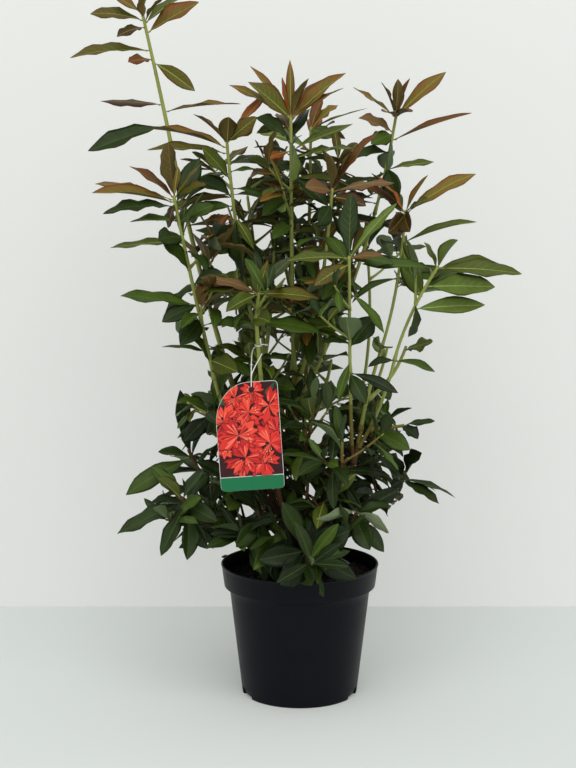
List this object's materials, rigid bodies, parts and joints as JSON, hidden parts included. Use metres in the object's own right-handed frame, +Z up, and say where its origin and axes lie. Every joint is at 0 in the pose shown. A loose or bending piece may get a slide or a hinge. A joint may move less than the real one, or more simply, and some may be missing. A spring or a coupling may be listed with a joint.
{
  "type": "potted rhododendron",
  "caption": "Bushy deciduous rhododendron in leaf, bronze at the shoot tips, with slender boughs rising from one short stem in a round black nursery pot, and a picture tag on a tie.",
  "frame": {"origin": "centre of the pot's flat underside", "axes": "+Z up; +Y away from the side the picture shows; +X to the right seen from that side"},
  "size_m": [0.6546, 0.5617, 1.1292],
  "materials": {
    "pot": "satin black moulded container",
    "peat": "dark moist peat, rough",
    "bark": "red-brown young bark",
    "young_foliage": "bronze-green young leaves, soft sheen",
    "old_foliage": "dark green leaves, soft sheen",
    "tag": "printed glossy card",
    "tie": "white plastic tie"
  },
  "bodies": {
    "root": {"pot": "pot", "soil": "peat", "trunk": "bark", "bough_centre": "bark", "bough_right": "bark", "bough_left_tall": "bark", "bough_front": "bark", "bough_back_left": "bark", "bough_back_right": "bark", "bough_left": "bark", "bough_back": "bark", "bough_middle_left": "bark", "bough_upper_right": "bark", "bough_right_inner": "bark", "bough_right_outer": "bark", "bough_right_front": "bark", "spray_left_tall": "young_foliage", "spray_centre": "young_foliage", "spray_upper_right": "young_foliage", "spray_left": "young_foliage", "spray_right_inner": "young_foliage", "spray_right_outer": "young_foliage", "spray_right_front": "young_foliage", "spray_middle_left": "young_foliage", "spray_front": "young_foliage", "spray_inner_right": "young_foliage", "spray_high_back": "young_foliage", "spray_mid_back": "young_foliage", "spray_back_left_high": "young_foliage", "spray_centre_left": "young_foliage", "spray_centre_right": "young_foliage", "spray_back_left": "young_foliage", "spray_back_right_high": "young_foliage", "spray_low_left_front": "old_foliage", "spray_low_left": "old_foliage", "spray_low_front": "old_foliage", "spray_low_right": "old_foliage", "spray_low_right_front": "old_foliage", "spray_mid_right": "old_foliage", "spray_inner_front": "old_foliage", "spray_inner_low": "old_foliage", "spray_inner_left": "old_foliage", "spray_under_tag": "old_foliage", "spray_behind_tag": "old_foliage", "spray_inner_back": "old_foliage", "spray_right_low": "old_foliage", "spray_left_low": "old_foliage", "spray_right_side": "old_foliage", "spray_inner_right_low": "old_foliage", "spray_foot_right": "old_foliage", "spray_back_left_low": "old_foliage", "spray_back_middle": "old_foliage", "spray_back_far": "old_foliage", "spray_back_right": "old_foliage", "spray_back_right_low": "old_foliage", "spray_low_back": "old_foliage", "spray_low_back_left": "old_foliage", "tag": "tag", "tag_tie": "tie"}
  },
  "joints": []
}
